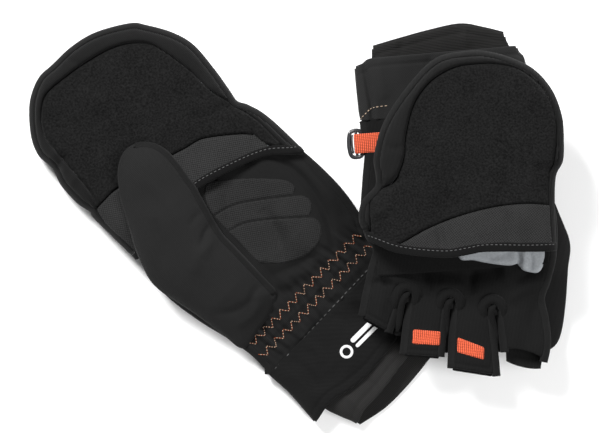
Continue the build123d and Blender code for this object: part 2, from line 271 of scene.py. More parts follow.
def sheet(region, box, height, thick=FABRIC, step=GRID, lower=False):
    """A closed sheet over a region of the plane. Its outer face is at height; lower turns that face down."""
    (x0, x1), (y0, y1) = box
    xs, ys = np.arange(x0, x1 + step, step), np.arange(y0, y1 + step, step)
    nx, ny = len(xs), len(ys)
    P = np.stack(np.meshgrid(xs, ys, indexing="ij"), -1).reshape(-1, 2)
    near = (region(P) < 0.45 * step).reshape(nx, ny)
    cell = near[:-1, :-1] & near[1:, :-1] & near[:-1, 1:] & near[1:, 1:]
    padded = np.pad(cell, 1).astype(int)
    touching = padded[:-1, :-1] + padded[1:, :-1] + padded[:-1, 1:] + padded[1:, 1:]
    used = (touching > 0).reshape(-1)
    border = ((touching > 0) & (touching < 4)).reshape(-1)
    for _ in range(3):
        B = P[border]
        s = region(B)
        h = 0.3
        g = np.stack([region(B + d) - region(B - d) for d in ([h, 0], [0, h])], 1) / (2 * h)
        g /= np.maximum(np.linalg.norm(g, axis=1, keepdims=True), 0.3)
        P[border] = B - np.clip(s, -1.5 * step, 1.5 * step)[:, None] * g
    index = np.full(nx * ny, -1)
    index[used] = np.arange(used.sum())
    Q = P[used]
    z = height(Q)
    other = z + thick if lower else z - thick
    i, j = np.nonzero(cell)
    corner = i * ny + j
    quads = index[np.stack([corner, corner + ny, corner + ny + 1, corner + 1], 1)]
    n = len(Q)
    outer, inner = (quads[:, ::-1], quads + n) if lower else (quads, (quads + n)[:, ::-1])
    sides = []
    for di, dj, a, b in ((-1, 0, 3, 0), (1, 0, 1, 2), (0, -1, 0, 1), (0, 1, 2, 3)):
        open_side = ~padded[1 + i + di, 1 + j + dj].astype(bool)
        e = quads[open_side]
        wall = np.stack([e[:, a], e[:, a] + n, e[:, b] + n, e[:, b]], 1)
        sides.append(wall[:, ::-1] if lower else wall)
    vertices = np.vstack([np.column_stack([Q, z]), np.column_stack([Q, other])])
    return vertices, np.vstack([outer, inner, *sides]).tolist()


def sweep(path, sections):
    """A closed tube through rings of points, one ring for each point of the path."""
    count, around = len(path), sections.shape[1]
    vertices = sections.reshape(-1, 3)
    i, j = np.meshgrid(np.arange(count - 1), np.arange(around), indexing="ij")
    k = (j + 1) % around
    quads = np.stack([i * around + j, i * around + k, (i + 1) * around + k, (i + 1) * around + j], -1)
    faces = quads.reshape(-1, 4).tolist()
    faces.append(list(range(around))[::-1])
    faces.append([(count - 1) * around + q for q in range(around)])
    return vertices, faces


def normals_of(run):
    """Unit normals to the right of a flat run."""
    t = np.gradient(run[:, :2], axis=0)
    t /= np.maximum(np.linalg.norm(t, axis=1, keepdims=True), 1e-9)
    return np.stack([t[:, 1], -t[:, 0]], 1)


def ribbon(path, width, thick, up=None, around=16, flat=0.6):
    """A band along a 3-D path, level or lying on the surface with the normals up. Flat 1 makes it oval."""
    t = np.gradient(path, axis=0)
    t /= np.maximum(np.linalg.norm(t, axis=1, keepdims=True), 1e-9)
    facing = np.broadcast_to(UPRIGHT if up is None else up, path.shape)
    side = np.cross(t, facing)
    side /= np.maximum(np.linalg.norm(side, axis=1, keepdims=True), 1e-9)
    if up is None:
        facing = np.cross(side, t)
    angle = np.arange(around) * 2 * math.pi / around
    c, s = (np.sign(q) * np.abs(q) ** flat for q in (np.cos(angle), np.sin(angle)))
    wide, tall = (np.broadcast_to(np.asarray(w, float), len(path)) for w in (width, thick))
    ring = (
        path[:, None]
        + side[:, None] * (c[None] * wide[:, None] / 2)[..., None]
        + facing[:, None] * (s[None] * tall[:, None] / 2)[..., None]
    )
    return sweep(path, ring)


def threads(path, length, gap, width, around=6):
    """Stitches along a 3-D path: short capsules with gaps between them."""
    run = np.r_[0, np.cumsum(np.linalg.norm(np.diff(path, axis=0), axis=1))]
    share = np.array([0.0, 0.12, 0.35, 0.65, 0.88, 1.0])
    fat = np.array([0.35, 0.8, 1.0, 1.0, 0.8, 0.35])
    parts = []
    for start in np.arange(gap / 2, run[-1] - length, length + gap):
        at = start + share * length
        centre = np.stack([np.interp(at, run, path[:, i]) for i in range(3)], 1)
        centre[:, 2] += 0.25 * width * (fat - 0.6)
        v, f = ribbon(centre, width, width * 0.8, None, around, 1.0)
        v = centre.repeat(around, 0) + (v - centre.repeat(around, 0)) * fat.repeat(around)[:, None]
        parts.append((v, f))
    return join(parts)


def along_y(points):
    """A height that changes along y, straight between its points."""
    ys, zs = zip(*sorted(points))
    return lambda P: np.interp(P[:, 1], ys, zs)


class Volume:
    """A puffed volume of a mitten, with an outline and the heights of its edge, its top and its bottom."""

    def __init__(self, shape, name, radius, low_radius, power, wrinkles, spacing=1.5, step=1.2):
        self.outline = ring_of(shape[name], spacing)
        self.region = Region(self.outline, step)
        heights = (along_y(shape[f"{name}_{place}"]) for place in ("middle", "top", "bottom"))
        self.middle, self.high, self.low = heights
        self.radius, self.low_radius, self.power = radius, low_radius, power
        self.wrinkles = wrinkles

    def box(self, margin=3):
        """The span of the outline in x and in y."""
        low, high = self.outline.min(0) - margin, self.outline.max(0) + margin
        return (low[0], high[0]), (low[1], high[1])

    def top(self, P):
        f = rounded(-self.region(P), self.radius, self.power)
        middle = self.middle(P)
        return middle + (self.high(P) - middle) * f + self.wrinkles(P) * f

    def bottom(self, P):
        f = rounded(-self.region(P), self.low_radius, self.power)
        middle = self.middle(P)
        return middle - (middle - self.low(P)) * f

    def belt(self, run, top_inset, low_inset, thick=FABRIC, puff=0.0, steps=7):
        """A strip round the edge, from an inset on the top face to one on the bottom face."""
        n = normals_of(run)
        middle, high, low = self.middle(run), self.high(run), self.low(run)
        fade = self.wrinkles(run - n * min(top_inset, 6.0))
        first = math.acos(max(1 - top_inset / self.radius, 0) ** (self.power / 2))
        last = math.acos(max(1 - low_inset / self.low_radius, 0) ** (self.power / 2))
        angles = np.r_[np.linspace(first, 0, steps), np.linspace(0, -last, steps)[1:]]
        rings = []
        for depth in (0.0, thick):
            ring = []
            for k, a in enumerate(angles):
                bulge = puff * math.sin(math.pi * k / (len(angles) - 1))
                q = math.cos(a) ** (2 / self.power)
                f = math.copysign(abs(math.sin(a)) ** (2 / self.power), a)
                reach = self.radius if a >= 0 else self.low_radius
                inset = reach * (1 - q) + (depth - bulge) * math.cos(a)
                span = (high - middle) if a >= 0 else (middle - low)
                z = middle + span * f - (depth - bulge) * math.sin(a)
                if a > 0:
                    z = z + fade * f
                ring.append(np.column_stack([run - n * inset, z]))
            rings.append(ring if depth == 0 else ring[::-1])
        return sweep(run, np.stack(rings[0] + rings[1], axis=1))


# ------------------------------------------------------------------ materials
def set_inputs(material, node, values):
    """Sets a node's inputs, each to a value or to the output of another node."""
    for name, value in values.items():
        if isinstance(value, bpy.types.NodeSocket):
            material.node_tree.links.new(value, node.inputs[name])
        else:
            node.inputs[name].default_value = value


def add_node(material, kind, values, **settings):
    """Makes a shader node with its inputs and its other settings."""
    node = material.node_tree.nodes.new(f"ShaderNode{kind}")
    for name, value in settings.items():
        setattr(node, name, value)
    set_inputs(material, node, values)
    return node


def new_material(name, values):
    """A material and its shader, with the shader's inputs set."""
    material = bpy.data.materials.new(name)
    material.use_nodes = True
    shader = material.node_tree.nodes["Principled BSDF"]
    set_inputs(material, shader, values)
    return material, shader


def cloth(name, colour, grain, contrast, bump, weave=None, pitch=1.0, turn=0.0, sheen=0.03, rough=0.9):
    """A matte fabric: blotches and grain in its colour, and a bump that is fleece, twill, knit or dots."""
    material, shader = new_material(
        name, {"Roughness": rough, "Specular IOR Level": 0.08, "Sheen Weight": sheen, "Sheen Roughness": 0.45}
    )
    coords = add_node(material, "TexCoord", {}).outputs["Object"]
    tall = {"dots": 0, "twill": 300}.get(weave, 1000)
    in_mm = {"Vector": coords, "Rotation": (0, 0, -turn), "Scale": (1000, 1000, tall)}
    place = add_node(material, "Mapping", in_mm).outputs["Vector"]

    def noise(scale, detail):
        values = {"Vector": place, "Scale": scale, "Detail": detail}
        return add_node(material, "TexNoise", values).outputs["Fac"]

    def reckon(operation, a, b):
        return add_node(material, "Math", {0: a, 1: b}, operation=operation).outputs["Value"]

    def wave(direction, scale):
        values = {"Vector": place, "Scale": scale, "Distortion": 0.4, "Detail": 1.0}
        return add_node(material, "TexWave", values, bands_direction=direction).outputs["Fac"]

    fine = noise(1.0 / grain, 3.0)
    blotch = noise(0.07, 2.0)
    pattern = fine
    per_band = 0.314 / pitch  # the wave texture repeats every 2 pi / 20 of its scaled length
    if weave == "twill":
        pattern = reckon("MULTIPLY", wave("DIAGONAL", per_band * 1.4), reckon("ADD", fine, 0.35))
    elif weave == "knit":
        pattern = reckon("MULTIPLY", wave("X", per_band), reckon("ADD", wave("Y", per_band * 1.3), 0.4))
    elif weave == "dots":
        dots = add_node(material, "TexVoronoi", {"Vector": place, "Scale": 1.0 / pitch, "Randomness": 0.12})
        pattern = reckon("SUBTRACT", 1.0, dots.outputs["Distance"])
    tone = reckon("ADD", reckon("MULTIPLY", pattern, 0.95), reckon("MULTIPLY", blotch, 0.18))
    colours = add_node(material, "ValToRGB", {"Fac": tone})
    stops = colours.color_ramp.elements
    for stop, position, strength in zip(stops, (0.3, 0.8), (1 - contrast, 1 + contrast)):
        stop.position = position
        stop.color = tuple(c * strength for c in colour) + (1,)
    height = reckon("ADD", pattern, reckon("MULTIPLY", fine, 0.5))
    bumps = add_node(material, "Bump", {"Strength": 0.7, "Distance": bump * MM * 2, "Height": height})
    set_inputs(material, shader, {"Base Color": colours.outputs["Color"], "Normal": bumps.outputs["Normal"]})
    return material


def hard(name, colour, rough, metallic=0.0):
    """Moulded plastic or metal with a faint grain."""
    material, shader = new_material(name, {"Base Color": (*colour, 1), "Metallic": metallic})
    grain = add_node(material, "TexNoise", {"Scale": 900}).outputs["Fac"]
    spread = add_node(material, "MapRange", {"Value": grain, "To Min": rough - 0.1, "To Max": rough + 0.1})
    bumps = add_node(material, "Bump", {"Strength": 0.4, "Distance": 0.00005, "Height": grain})
    set_inputs(material, shader, {"Roughness": spread.outputs["Result"], "Normal": bumps.outputs["Normal"]})
    return material


def grey(value, warm=0.0):
    """A linear colour from a screen value out of 255."""
    v = ((value / 255 + 0.055) / 1.055) ** 2.4 if value > 10 else value / 255 / 12.92
    return (v * (1 + warm), v, v * (1 - warm))


def mitten_materials(turn, cuff_tone_and_painted_sheen, inner_value):
    """The materials of one mitten, with weaves lined up with it. The outer cuff's value is its own tone,
    raised on the right mitten as painted sheen.
    """
    m = {}
    m["fleece"] = cloth("hood_fleece", grey(15), 1.25, 0.9, 0.4, turn=turn)
    m["rim"] = cloth("hood_rim_fabric", grey(21), 1.0, 0.4, 0.15, "knit", 0.8, turn)
    m["back"] = cloth("back_softshell", grey(18), 0.9, 0.3, 0.1, "knit", 0.9, turn)
    m["thumb"] = cloth("thumb_softshell", grey(27), 0.8, 0.25, 0.1, "knit", 0.8, turn)
    m["palm"] = cloth("palm_knit", grey(21), 0.9, 0.3, 0.1, "knit", 0.9, turn)
    m["side"] = cloth("side_softshell", grey(20), 0.8, 0.25, 0.08, turn=turn)
    m["grip"] = cloth("grip_print", grey(27), 0.8, 1.0, 0.35, "dots", 1.25, turn + 0.6, 0.03, 0.75)
    m["palm_grip"] = cloth("palm_grip_print", grey(23), 0.8, 1.0, 0.35, "dots", 1.25, turn + 0.6, 0.03, 0.75)
    # the outer cuff's grey: its own tone, painted lighter on the right mitten as a painted sheen from the
    # light above
    m["cuff"] = cloth("cuff_woven", grey(cuff_tone_and_painted_sheen), 0.7, 0.4, 0.15, "twill", 0.8, turn)
    inner_grey = grey(inner_value, 0.02)
    m["inner_cuff"] = cloth("inner_cuff_woven", inner_grey, 0.7, 0.4, 0.15, "twill", 1.0, turn + 0.8)
    m["binding"] = cloth("hem_binding", grey(14), 0.6, 0.35, 0.12, "twill", 0.7, turn)
    m["liner"] = cloth("pale_liner", grey(140, -0.05), 1.2, 0.12, 0.1, turn=turn, rough=0.6)
    m["tape"] = cloth("bright_tape", (0.55, 0.09, 0.04), 0.5, 0.55, 0.3, "knit", 1.3, turn, 0.1, 0.55)
    m["thread"] = cloth("pale_thread", grey(84), 0.4, 0.2, 0.05, rough=0.6)
    m["orange_thread"] = cloth("orange_thread", (0.22, 0.045, 0.015), 0.4, 0.3, 0.05, rough=0.6)
    m["cream_thread"] = cloth("cream_thread", (0.45, 0.34, 0.25), 0.4, 0.2, 0.05, rough=0.6)
    m["mark"] = cloth("printed_mark", grey(190), 0.5, 0.06, 0.02, rough=0.5)
    m["elastic"] = cloth("elastic_band", grey(26), 0.5, 0.3, 0.1, "knit", 1.0, turn)
    return m


PLASTIC = hard("black_nylon", (0.012, 0.012, 0.014), 0.35)
STEEL = hard("magnet_plate", (0.45, 0.45, 0.46), 0.35, 1.0)


# ------------------------------------------------------------------ shapes of the two mittens, in millimetres
# tip is 1 where the hood points to the fingertips and -1 where it is folded back. A middle, top or bottom
# is a list of (y, height). The ends are the cut ends of the fingers, from the little finger to the index
# finger, and crotches are the outline's points between them, with the place that the gap below runs to.
LEFT = dict(
    palm_up=True,
    tip=1,
    # the outline runs round the fingers and past their cut ends
    hand=[(52, -108), (53, -95), (56.5, -78), (61, -68), (64.5, -45), (63.5, -14), (58, 0), (56, 12),
        (56.5, 27), (57, 46), (38, 48), (37, 27), (35, 9), (34, 28), (35.5, 47), (37, 66), (15, 68),
        (13, 47), (9.5, 15), (8.5, 34), (9.5, 58), (11, 78), (-17, 80), (-16, 58), (-16.5, 22), (-17.5, 40),
        (-18, 56), (-17, 76), (-50, 76), (-49, 55), (-50, 30), (-56, 12), (-61.5, -5), (-63.5, -20),
        (-60, -45), (-54.5, -68), (-52, -84), (-52, -95), (-52, -108)],
    ends=[((56.5, 27), (37, 27)), ((35.5, 47), (13, 47)), ((9.5, 58), (-16, 58)),
        ((-18, 56), (-49, 55))],
    hand_middle=[(-150, 8), (60, 9)],
    hand_top=[(-150, 13), (-108, 14), (-95, 12.5), (-83, 12), (-70, 14), (-50, 17), (-10, 17),
        (20, 17.2), (70, 16)],
    hand_bottom=[(-150, 0.4), (0, 0.4), (12, 3.2), (70, 3.6)],
    # the hood, closed over the fingers
    hood=[(64, -60), (64.3, -12), (63.3, 16.9), (59.8, 31), (56.4, 38), (58, 47), (60.5, 62),
        (62.2, 82.8), (58.2, 98.2), (49.7, 113.4), (43.2, 121.6), (23.8, 132.9), (6.5, 137.4), (-10.8, 138),
        (-22.3, 138.3), (-34.4, 133.5), (-43.9, 125.7), (-53.4, 114), (-57.9, 103.1), (-57.6, 91.2),
        (-61.2, 79.4), (-62, 64.6), (-60.3, 54.4), (-61.3, 48), (-61, 10), (-61, -60)],
    hood_seam=[(56.8, 20), (52.5, 40.5), (49, 54.1), (48.8, 71.5), (46.8, 87), (43.6, 101), (38, 109.2),
        (29.1, 115.9), (17.8, 120.6), (2.8, 124.3), (-9.3, 126.2), (-22.8, 127.6), (-30.6, 126),
        (-38.5, 120.2), (-43, 115), (-46.7, 107.5), (-48.6, 92), (-50.1, 73.1), (-52, 61), (-56.6, 50.1),
        (-60, 38)],
    hem=[(-66, 10.5), (-50, 12), (-25, 15), (-2.2, 15.5), (20.9, 9.4), (46, -0.6), (59, -11.9),
        (67, -19)],
    grip_edge=[(-66, 52), (-48.7, 52.6), (-37.8, 52.1), (-12, 46), (4, 42), (12, 39.5), (22.1, 36.9),
        (31, 31), (39.5, 24.1), (46, 18), (49.4, 12.5), (49.6, 7), (52, 1), (60, -8)],
    hood_middle=[(0, 9.5)],
    hood_top=[(0, 22.5)],
    hood_bottom=[(0, 0.2)],
    thumb=[(-12.9, -67), (-11.6, -58), (-11.0, -42), (-10.6, -26), (-10.4, -17), (-8.6, -8),
        (-5.8, 1.5), (-3.5, 9.8), (-1.2, 17), (0.2, 26), (1.8, 36), (2.3, 46), (0.6, 54), (-3.4, 60.5),
        (-9, 64.6), (-16.4, 66), (-23, 64), (-29, 60), (-34, 54.5), (-40, 46.5), (-46, 35.5), (-51.3, 26),
        (-57, 15.6), (-61, 5.5), (-63.9, -3.8), (-64, -14), (-61.6, -26), (-58.4, -43), (-55.6, -62),
        (-52.6, -77), (-36, -75.4), (-23.2, -73)],
    thumb_middle=[(-80, 12.5), (-60, 15), (-30, 20), (0, 25), (62, 28)],
    thumb_top=[(-80, 17), (-72, 20), (-60, 26), (-45, 32), (-20, 36), (10, 38.5), (62, 38.5)],
    thumb_bottom=[(-80, 12), (-20, 14.5), (10, 21.5), (62, 22.6)],
    outer=[(51, -85), (51.5, -100), (50, -118), (51, -140), (50, -175), (-53.5, -175), (-54, -146),
        (-53.4, -136), (-52.2, -118), (-53.0, -102), (-52.4, -97), (-50, -88)],
    outer_end=[(-58, -144), (-52, -143.2), (-36.7, -140.6), (-23.6, -143.4), (-5, -145), (22.6, -142),
        (60, -140)],
    outer_middle=[(-150, 8), (-85, 8)],
    outer_top=[(-150, 16.4), (-125, 16.2), (-104, 14), (-85, 12)],
    outer_bottom=[(-150, 0.3), (-85, 0.3)],
    inner=[(42, -105), (43, -140), (44, -190), (-30, -190), (-35.5, -163), (-40, -151), (-43.5, -138),
        (-45, -105)],
    inner_front=[(-40, -163.5), (-33, -162.4), (-25, -159.6), (-8.2, -159), (16.2, -155.6), (50, -153)],
    inner_back=[(-40, -163), (-33.1, -164.9), (-15, -168.5), (4.9, -168.5), (27.1, -166.3), (50, -163)],
    inner_middle=[(-170, 5), (-105, 7)],
    inner_top=[(-170, 11), (-150, 13), (-132, 12.4), (-105, 10)],
    inner_bottom=[(-170, 0.9), (-105, 2)],
)

RIGHT = dict(
    palm_up=False,
    tip=-1,
    hand=[(54, -108), (58.5, -97), (57, -80), (59.5, -62), (62, -42), (60.5, -26), (56, -17),
        (59.5, -6), (64, 9), (68.2, 24), (74, 42), (54, 54), (47.7, 37.5), (43.6, 27), (39.8, 18.5),
        (36.5, 12.5), (37.6, 19), (40.2, 32), (43.7, 50.6), (48, 72), (17.4, 76), (15.4, 54.6), (13.2, 39),
        (11.2, 28), (9.2, 18.5), (9.8, 29), (11.8, 44), (13.8, 61.3), (16, 82), (-19.5, 89), (-19.3, 69),
        (-18.9, 50), (-18.2, 36), (-17.6, 24.5), (-19.6, 35), (-20.4, 46), (-20.6, 58), (-19, 82),
        (-43, 86), (-49.5, 64), (-53, 50), (-52.5, 34), (-51, 22), (-55.5, 11), (-60.5, -6), (-62, -30),
        (-57, -58), (-52, -80), (-50, -108)],
    ends=[((68.2, 24), (47.7, 37.5)), ((43.7, 50.6), (15.4, 54.8)), ((13.8, 61.5), (-19.3, 69)),
        ((-20.6, 54.5), (-50.0, 63))],
    crotches=[(15, 44.5, 39), (24, 14.6, 52), (33, -20, 54)],
    tuck_rise=34.8,
    low_ends=[((68, 26), (48, 39)), ((43.7, 52), (15.4, 56)), ((13.8, 63), (-19.3, 70.5)),
        ((-20.6, 55), (-50, 64))],
    oval=((-34.6, 59.2), 16.0, 5.4, (-50, 64.4)),
    hand_middle=[(-150, 17), (-101, 25), (-55, 31), (60, 30)],
    hand_top=[(-150, 25), (-101, 34), (-55, 39.5), (-6, 39.8), (10, 37.4), (70, 36.4)],
    hand_bottom=[(-150, 9), (-101, 16.5), (-55, 22.5), (0, 22.5), (10, 23.4), (70, 23.4)],
    # the hood, folded back over the back of the hand
    hood=[(60.5, 30), (60.5, 10), (58.5, -14), (59.5, -25), (63.6, -36), (61, -48), (52, -57),
        (51, -64), (51.2, -76.5), (43.6, -97.2), (27.7, -118.2), (9.2, -134.8), (-9.7, -138.6),
        (-28.2, -136.7), (-50.6, -126.5), (-63.6, -111.5), (-69.3, -93.8), (-69.4, -78), (-68, -65),
        (-63, -56), (-61, -40), (-59.8, -7.2), (-59, 10), (-59, 30)],
    hood_seam=[(56.5, -20), (56.8, -30), (55, -50.5), (42, -58), (36.9, -64), (32.4, -75.2),
        (30.3, -89.2), (23.9, -107.4), (12.7, -120.9), (-1.9, -128.5), (-16.2, -130.2), (-30.2, -129.2),
        (-44.6, -124.2), (-57.9, -111.9), (-64.6, -98.5), (-65.3, -84), (-63, -68), (-59, -56), (-60, -42)],
    hem=[(-67, -7.6), (-59.8, -8), (-47.4, -8.4), (-15.5, -10.6), (-4, -9.6), (12.2, -8.7),
        (39.5, -13.5), (54.4, -20.3), (66, -26)],
    grip_edge=[(-67, -36), (-61.6, -36.6), (-43.2, -39.2), (-23.2, -38.6), (-0.5, -34.5), (20, -28),
        (38.5, -19.5), (47, -18), (60, -22)],
    hood_middle=[(0, 49.5)],
    hood_top=[(0, 63.2)],
    hood_bottom=[(0, 40.5)],
    thumb=[(-21, -64), (-17, -45), (-15.5, -20), (-20, 10), (-27.5, 38), (-36, 52), (-46, 56.5),
        (-56, 53), (-61.1, 43.9), (-64.9, 26.5), (-68, 4.6), (-70.5, -11.6), (-66, -28), (-58, -50),
        (-47, -70), (-33, -74)],
    thumb_middle=[(-80, 15), (-60, 12), (-20, 9.5), (60, 9)],
    thumb_top=[(-80, 17.5), (-55, 21), (-12, 20.5), (6, 16.2), (60, 15.8)],
    thumb_bottom=[(-80, 12), (-60, 6), (-40, 1.5), (-20, 0.3), (60, 0.3)],
    outer=[(54, -85), (58.4, -100), (59.4, -114.3), (59.8, -134), (60, -175), (-42, -175), (-45, -141),
        (-48.7, -133.7), (-50, -126.6), (-51, -110), (-51, -85)],
    outer_end=[(-52, -137), (-46, -140.4), (-20, -140.2), (20, -139.6), (48, -139), (54.7, -136),
        (61, -134), (66, -133)],
    outer_middle=[(-150, 18), (-85, 27)],
    outer_top=[(-150, 27), (-101, 34), (-85, 36)],
    outer_bottom=[(-150, 10), (-101, 17), (-85, 19)],
    inner=[(49, -105), (49, -130), (47.8, -146), (47, -185), (-36, -185), (-38, -149), (-39.5, -142),
        (-44, -128), (-45, -105)],
    inner_front=[(-44, -146), (-37.7, -148.9), (-24, -153.5), (-9.7, -156.6), (10, -154), (30, -150),
        (47.5, -146.2), (55, -144)],
    inner_back=[(-44, -147), (-37.7, -150), (-24, -154.5), (-9.7, -157.6), (10, -155), (30, -151),
        (47.5, -147), (55, -145)],
    inner_middle=[(-170, 17), (-105, 24)],
    inner_top=[(-170, 21.5), (-140, 24.5), (-105, 30)],
    inner_bottom=[(-170, 12), (-140, 12.5), (-105, 18)],
)


def part(outline, start, end):
    """The stretch of a closed outline from the point nearest start on to the one nearest end."""
    a, b = (int(np.argmin(np.hypot(*(outline - q).T))) for q in (start, end))
    return outline[a : b + 1] if a <= b else np.vstack([outline[a:], outline[: b + 1]])


def mouths(ends, margin=1.2):
    """Positive beyond the cut end of a finger, for cutting the sheets there."""

    def distance(P):
        worst = np.full(len(P), -1e3)
        for a, b in ends:
            a, b = np.array(a, float), np.array(b, float)
            wide = np.linalg.norm(b - a)
            across = (b - a) / wide
            out = np.array([across[1], -across[0]])
            rel = P - (a + b) / 2
            beyond = np.minimum(rel @ out, wide / 2 + margin - np.abs(rel @ across))
            worst = np.maximum(worst, beyond)
        return worst

    return distance


def surface_path(volume, line, step=1.0, lift=0.0):
    """A flat line laid on top of a volume, evenly spaced in space, with the surface's normals."""
    path = np.column_stack([line, volume.top(line)])
    run = np.r_[0, np.cumsum(np.linalg.norm(np.diff(path, axis=0), axis=1))]
    at = np.linspace(0, run[-1], max(int(run[-1] / step), 3) + 1)
    path = np.stack([np.interp(at, run, path[:, i]) for i in range(3)], 1)
    h = 0.6
    flat = path[:, :2]
    rises = [volume.top(flat + d) - volume.top(flat - d) for d in ([h, 0.0], [0.0, h])]
    slope = np.stack(rises, 1) / (2 * h)
    up = np.column_stack([-slope, np.ones(len(path))])
    up /= np.linalg.norm(up, axis=1, keepdims=True)
    for _ in range(3):
        up[1:-1] = (up[:-2] + up[1:-1] + up[2:]) / 3
    return path + up * lift, up


def disc(centre, radius, low, high, around=40):
    """A low round plate with rounded edges."""
    r = np.array([0.01, radius - 0.6, radius - 0.15, radius, radius, radius - 0.15, radius - 0.6, 0.01])
    z = np.array([high, high, high - 0.15, high - 0.5, low + 0.5, low + 0.15, low, low])
    a = np.arange(around) * 2 * math.pi / around
    x, y = centre[0] + np.outer(r, np.cos(a)), centre[1] + np.outer(r, np.sin(a))
    rings = np.stack([x, y, np.repeat(z[:, None], around, 1)], -1)
    return sweep(rings[:, 0], rings)


def ellipse(centre, half_x, half_y):
    """The region of an oval that stands along x or y."""
    angles = np.linspace(0, 2 * math.pi, 40)
    x, y = centre
    return Region(np.array([(x + half_x * math.cos(a), y + half_y * math.sin(a)) for a in angles]))


def oval_region(centre, half_long, half_short, end):
    """An ellipse whose long axis points from its centre to an end point."""
    along = np.array(end, float) - centre
    along /= np.linalg.norm(along)

    def distance(P):
        rel = P - np.array(centre, float)
        u, w = rel @ along, rel @ np.array([-along[1], along[0]])
        return (np.hypot(u / half_long, w / half_short) - 1) * half_short

    return distance


# ------------------------------------------------------------------ one mitten
def build_hand(m, s, mat, wrinkles):
    """The hand's two panels, the strips between them and the strips between the fingers."""
    v = Volume(s, "hand", 14.0, 12.0, 2.1, wrinkles, 1.1, 0.6)
    inset = 3.4
    flat = grown(v.region, -inset)
    cut = mouths(s["ends"])
    hand = lambda P: WRIST_Y - P[:, 1]
    hole = outside(ellipse(THUMB_HOLE, 17, 24))
    shell = both(flat, cut, hand)
    low_shell = both(flat, mouths(s.get("low_ends", s["ends"])), hand)
    top_region = both(shell, hole) if s["palm_up"] else shell
    low_region = low_shell if s["palm_up"] else both(low_shell, hole)
    if "oval" in s:
        oval = oval_region(*s["oval"])
        top_region = both(top_region, outside(oval))
        low_region = either(low_region, both(oval, flat))

    def top_height(P):
        """The top with its seams, and a stitched groove beside the fingers' cut ends."""
        hem = 0.9 * np.exp(-(((cut(P) + 3.4) / 0.8) ** 2))
        return v.top(P) - np.maximum(seam(P, shell, 1.6, 1.5), hem)

    top = sheet(top_region, v.box(), top_height)
    low = sheet(low_region, v.box(), lambda P: v.bottom(P) + seam(P, low_shell), lower=True, step=1.3)
    names = ("palm", "back") if s["palm_up"] else ("back", "palm")
    for name, panel in zip(names, (top, low)):
        m.add(f"{name}_panel_cloth", panel, mat[name], f"{name}_panel", "softshell")
    ends = s["ends"]
    strips = {
        "ulnar_gusset": ((s["hand"][0][0], WRIST_Y), ends[0][0]),
        "fourchette_ring_little": (ends[0][1], ends[1][0]),
        "fourchette_middle_ring": (ends[1][1], ends[2][0]),
        "fourchette_index_middle": (ends[2][1], ends[3][0]),
        "radial_gusset": (ends[3][1], (s["hand"][-1][0], WRIST_Y)),
    }
    for name, (start, end) in strips.items():
        belt = v.belt(part(v.outline, start, end), inset + 0.7, inset + 0.7, puff=0.25)
        m.add(f"{name}_cloth", belt, mat["side"], name, "softshell")
    return v


def build_tucks(m, s, mat):
    """The gathered cloth between the cut-off fingers: an arch, two knotted folds in it and a filled gap."""
    tucks = []
    for i, x_end, y_end in s["crotches"]:
        x, y = s["hand"][i]
        rise = s["tuck_rise"]
        lean = (x_end - x) / (y_end - y)

        def rod(points, wide, tall, taper):
            """A roll of cloth that thins out over a share of its length at both ends."""
            path = smooth([(x + dx + lean * max(dy, 0), y + dy, rise + dz) for dx, dy, dz in points], 0.8)
            share = np.linspace(0, 1, len(path))
            fat = np.clip(np.minimum(share, 1 - share) / taper, 0.25, 1) ** 0.5
            tucks.append(ribbon(path, wide * fat, tall * fat, UPRIGHT, flat=1.0))

        arch = [(7.8, 16, -6), (7, 7, -1), (6.4, 0, 1.6), (2.6, -4.2, 2.9), (-2.6, -4.2, 2.9), (-6, 0, 1.8),
                (-6.6, 6, -0.4), (-5, 14, -5.5)]
        long_fold = [(-2.4, -1.6, 2), (0.6, 1.4, 2.4), (1.8, 5.5, 0.8), (1.4, 14, -3), (0.8, 24, -6)]
        short_fold = [(3.6, -0.6, 1.8), (0.4, 2.4, 2.2), (-1.6, 5.6, 0.6)]
        gap = [(0, 1, -4), (0, (y_end - y) / 2, -7), (0, y_end - y, -8)]
        rod(arch, 6.2, 6.0, 0.3)
        rod(long_fold, 4.4, 4.4, 0.16)
        rod(short_fold, 3.4, 3.4, 0.3)
        rod(gap, 5.0, 3.0, 0.02)
    m.add("crotch_tucks", join(tucks), mat["back"], slot="softshell")


def build_wrist_elastic(m, mat, v):
    """The elastic band, hidden between the layers of the gathered wrist."""
    band = both(grown(v.region, -4.0), lambda P: np.abs(P[:, 1] - ELASTIC_Y) - 7)
    box = ((-70, 70), (ELASTIC_Y - 9, ELASTIC_Y + 9))
    top = sheet(band, box, lambda P: v.top(P) - FABRIC - 0.4, 1.0, 1.4)
    low = sheet(band, box, lambda P: v.bottom(P) + FABRIC + 0.4, 1.0, 1.4, lower=True)
    m.add("wrist_elastic_band", join([top, low]), mat["elastic"], "wrist_elastic", "elastic")


def zigzag(volume, start, end, period, amplitude, lift=0.35):
    """The legs of a zigzag seam laid on top of a volume."""
    start, end = np.array(start, float), np.array(end, float)
    count = int(np.linalg.norm(end - start) / period * 2)
    along = (end - start) / np.linalg.norm(end - start)
    across = np.array([-along[1], along[0]])
    sway = across * amplitude / 2
    corners = [start + (end - start) * k / count + sway * (-1) ** k for k in range(count + 1)]
    legs = (a + (b - a) * np.linspace(0, 1, 8)[:, None] for a, b in zip(corners, corners[1:]))
    return [surface_path(volume, leg, 0.8, lift)[0] for leg in legs]


